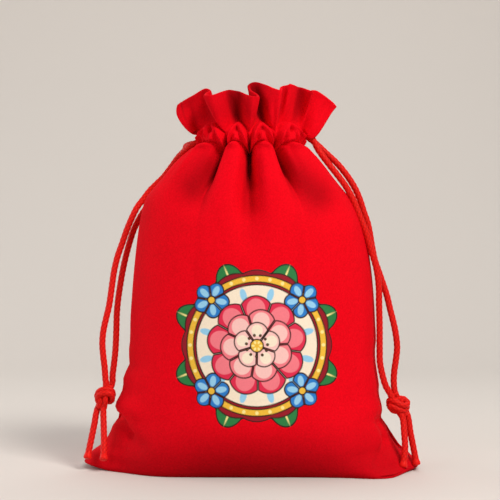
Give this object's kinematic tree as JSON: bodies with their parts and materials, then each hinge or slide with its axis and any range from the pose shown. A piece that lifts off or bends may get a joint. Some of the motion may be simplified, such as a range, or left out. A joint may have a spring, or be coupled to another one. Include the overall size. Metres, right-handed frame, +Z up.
{
  "type": "drawstring pouch",
  "caption": "Standing red velvet drawstring pouch with a gathered neck, a ruffle and satin cords that leave the channel at opposite sides and end in knots.",
  "frame": {"origin": "on the ground under the middle of the pouch, between the two panels", "axes": "+Z up, -Y the way the printed front faces, +X to the right seen from the front"},
  "size_m": [0.1506, 0.075, 0.1716],
  "materials": {
    "velvet": "short-pile red velvet, soft sheen",
    "cord": "round braided satin cord, silky gloss"
  },
  "bodies": {
    "root": {"front_panel": "velvet", "back_panel": "velvet", "right_cord_run": "cord", "left_cord_run": "cord", "right_strand_front": "cord", "right_strand_back": "cord", "left_strand_front": "cord", "left_strand_back": "cord", "right_tail_front": "cord", "right_tail_back": "cord", "left_tail_front": "cord", "left_tail_back": "cord", "right_knot": "cord", "left_knot": "cord"}
  },
  "joints": []
}
